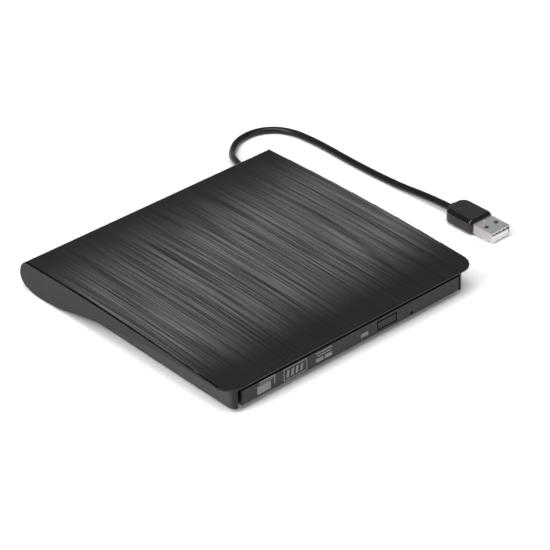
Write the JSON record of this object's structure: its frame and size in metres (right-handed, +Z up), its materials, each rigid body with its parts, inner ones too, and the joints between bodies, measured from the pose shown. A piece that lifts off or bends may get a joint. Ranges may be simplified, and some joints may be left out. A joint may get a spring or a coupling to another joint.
{
  "type": "external optical drive",
  "caption": "Slim external optical disc drive: crowned wing-shaped cover, sliding disc tray behind a front panel, and a captive cord with a USB plug.",
  "frame": {"origin": "bottom centre of the drive without its cord, on the surface it stands on", "axes": "+Z up, -Y the way the tray opens (the front), +X to the right seen from the front"},
  "size_m": [0.1914, 0.1762, 0.0169],
  "materials": {
    "cover_plastic": "hairline-brushed dark grey film over plastic",
    "shell_plastic": "satin dark grey moulded plastic",
    "foot_rubber": "soft matt rubber",
    "screw_steel": "blackened steel",
    "sheet_steel": "zinc-plated pressed sheet steel",
    "rail_steel": "drawn steel strip",
    "plug_steel": "nickel-plated sheet steel",
    "guide_plastic": "white acetal",
    "board": "glass-epoxy board with green mask",
    "chip_black": "moulded epoxy",
    "connector_black": "moulded connector body",
    "ribbon": "polyester ribbon",
    "lead_insulation": "wire insulation",
    "cord_jacket": "soft black vinyl",
    "plug_tongue": "white moulded insulator",
    "contact_gold": "gold-plated contact springs",
    "tray_plastic": "fine-textured black plastic",
    "bezel_plastic": "satin black plastic",
    "lamp_clear": "clear acrylic",
    "traverse_steel": "pressed sheet steel",
    "damper_rubber": "soft rubber",
    "cover_black": "thin black plastic sheet",
    "stator": "laminated core with copper coils",
    "rotor_metal": "turned rotor with black turntable",
    "sled_cast": "zinc-grey casting",
    "lens_glass": "coated lens"
  },
  "bodies": {
    "case": {"top_cover": "cover_plastic", "bottom_shell": "shell_plastic", "front_feet": "foot_rubber", "rear_feet": "foot_rubber", "case_screws": "screw_steel", "drive_screws": "screw_steel", "small_screws": "screw_steel", "drive_pan": "sheet_steel", "drive_lid": "sheet_steel", "latch_pin": "rail_steel", "rail_guide_left": "guide_plastic", "rail_guide_right": "guide_plastic", "main_board": "board", "main_board_chips": "chip_black", "ffc_socket": "connector_black", "sata_plug": "connector_black", "flex_ribbon": "ribbon", "bridge_board": "board", "bridge_socket": "connector_black", "bridge_chips": "chip_black", "cable_leads": "lead_insulation", "cable_grommet": "cord_jacket", "usb_cable": "cord_jacket", "plug_grip": "cord_jacket", "plug_shell": "plug_steel", "plug_tongue": "plug_tongue", "plug_contacts": "contact_gold"},
    "tray": {"tray": "tray_plastic", "bezel": "bezel_plastic", "light_pipe": "lamp_clear", "front_board": "board", "eject_switch": "connector_black", "status_led": "lamp_clear", "traverse_plate": "traverse_steel", "damper_bushes": "damper_rubber", "damper_screws": "screw_steel", "traverse_cover": "cover_black", "spindle_stator": "stator", "guide_rods": "rail_steel", "sled_motor": "traverse_steel", "tray_sheet": "sheet_steel", "latch_solenoid": "traverse_steel", "ejector_housing": "tray_plastic", "ejector_plunger": "guide_plastic", "ejector_spring": "rail_steel"},
    "rail_left": {"rail_left": "rail_steel"},
    "rail_right": {"rail_right": "rail_steel"},
    "button": {"eject_button": "bezel_plastic"},
    "spindle": {"spindle_rotor": "rotor_metal", "disc_pad_ring": "damper_rubber"},
    "jaw_one": {"clamp_jaw_1": "guide_plastic"},
    "jaw_two": {"clamp_jaw_2": "guide_plastic"},
    "jaw_three": {"clamp_jaw_3": "guide_plastic"},
    "sled": {"pickup_sled": "sled_cast", "lead_nut": "guide_plastic"},
    "lens": {"lens_holder": "connector_black", "objective_lens": "lens_glass"},
    "screw": {"lead_screw": "rail_steel"},
    "latch": {"latch_lever": "guide_plastic"}
  },
  "joints": [
    {"name": "tray_slide", "type": "slide", "parent": "case", "child": "tray", "axis": [0, -1, 0], "range_m": [0, 0.128]},
    {"name": "rail_left_slide", "type": "slide", "parent": "case", "child": "rail_left", "axis": [0, -1, 0], "range_m": [0, 0.064]},
    {"name": "rail_right_slide", "type": "slide", "parent": "case", "child": "rail_right", "axis": [0, -1, 0], "range_m": [0, 0.064]},
    {"name": "eject_button_press", "type": "slide", "parent": "tray", "child": "button", "axis": [0, 1, 0], "range_m": [0, 0.0004], "stiffness_N_per_m": 800, "springref_m": -0.0005},
    {"name": "spindle_spin", "type": "hinge", "parent": "tray", "child": "spindle", "pos_m": [0.0006, -0.0044, 0.007], "axis": [0, 0, 1], "continuous": true},
    {"name": "jaw_one_press", "type": "slide", "parent": "spindle", "child": "jaw_one", "axis": [0.7071, 0.7071, 0], "range_m": [0, 0.0004], "stiffness_N_per_m": 500, "springref_m": -0.0005},
    {"name": "jaw_two_press", "type": "slide", "parent": "spindle", "child": "jaw_two", "axis": [-0.9659, 0.2588, 0], "range_m": [0, 0.0004], "stiffness_N_per_m": 500, "springref_m": -0.0005},
    {"name": "jaw_three_press", "type": "slide", "parent": "spindle", "child": "jaw_three", "axis": [0.2588, -0.9659, 0], "range_m": [0, 0.0004], "stiffness_N_per_m": 500, "springref_m": -0.0005},
    {"name": "sled_slide", "type": "slide", "parent": "tray", "child": "sled", "axis": [-0.7071, -0.7071, 0], "range_m": [0, 0.034]},
    {"name": "lead_screw_turn", "type": "hinge", "parent": "tray", "child": "screw", "pos_m": [-0.00081, -0.03127, 0.0056], "axis": [-0.7071, -0.7071, 0], "range_deg": [-10, 4100]},
    {"name": "lens_focus", "type": "slide", "parent": "sled", "child": "lens", "axis": [0, 0, 1], "range_m": [-0.0003, 0.0003], "stiffness_N_per_m": 150},
    {"name": "latch_swing", "type": "hinge", "parent": "tray", "child": "latch", "pos_m": [0.0495, 0.04, 0.0055], "axis": [0, 0, 1], "range_deg": [0, 11]}
  ],
  "couplings": [
    {"joint": "rail_left_slide", "follows": "tray_slide", "ratio": 0.5},
    {"joint": "rail_right_slide", "follows": "tray_slide", "ratio": 0.5},
    {"joint": "lead_screw_turn", "follows": "sled_slide", "rad_per_m": 2094.4},
    {"joint": "jaw_two_press", "follows": "jaw_one_press", "ratio": 1},
    {"joint": "jaw_three_press", "follows": "jaw_one_press", "ratio": 1}
  ]
}
